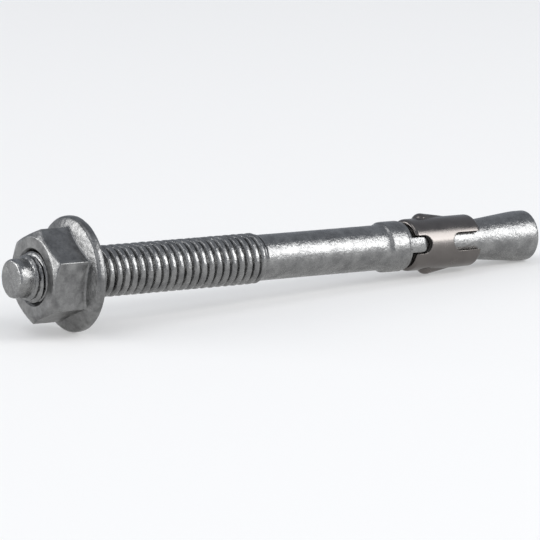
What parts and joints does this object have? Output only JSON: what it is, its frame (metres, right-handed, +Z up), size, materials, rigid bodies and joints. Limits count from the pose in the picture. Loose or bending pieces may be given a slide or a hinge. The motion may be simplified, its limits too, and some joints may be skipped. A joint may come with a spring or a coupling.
{
  "type": "wedge anchor",
  "caption": "Torque-set wedge anchor: threaded stud with a ramped collar and an end cone, a keyed expansion clip round its neck and a hexagon flange nut.",
  "frame": {"origin": "on the floor, below the middle of the anchor bolt's length", "axes": "+X runs along the anchor as it lies, from the thread end to the cone, and +Z is up; the bolt's own axis lies in the XZ plane and falls 3.22 degrees towards the cone, because the flange's rim and the cone's end both touch the floor"},
  "size_m": [0.0984, 0.0178, 0.0179],
  "materials": {
    "galvanised_bolt": "hot-dip galvanised steel, grainy and semi-bright",
    "clip_sheet": "smooth wrapped steel sheet with a warm grey-brown tone",
    "galvanised_nut": "hot-dip galvanised steel, matt with bright chamfers"
  },
  "bodies": {
    "bolt": {"anchor_bolt": "galvanised_bolt"},
    "clip": {"expansion_clip": "clip_sheet"},
    "nut": {"flange_nut": "galvanised_nut"}
  },
  "joints": [
    {"name": "nut_run", "type": "slide", "parent": "bolt", "child": "nut", "axis": [0.9984, 0, -0.0561], "range_m": [-0.0127, 0.03246]},
    {"name": "clip_play", "type": "slide", "parent": "bolt", "child": "clip", "axis": [0.9984, 0, -0.0561], "range_m": [-0.0006, 0.0013]}
  ]
}
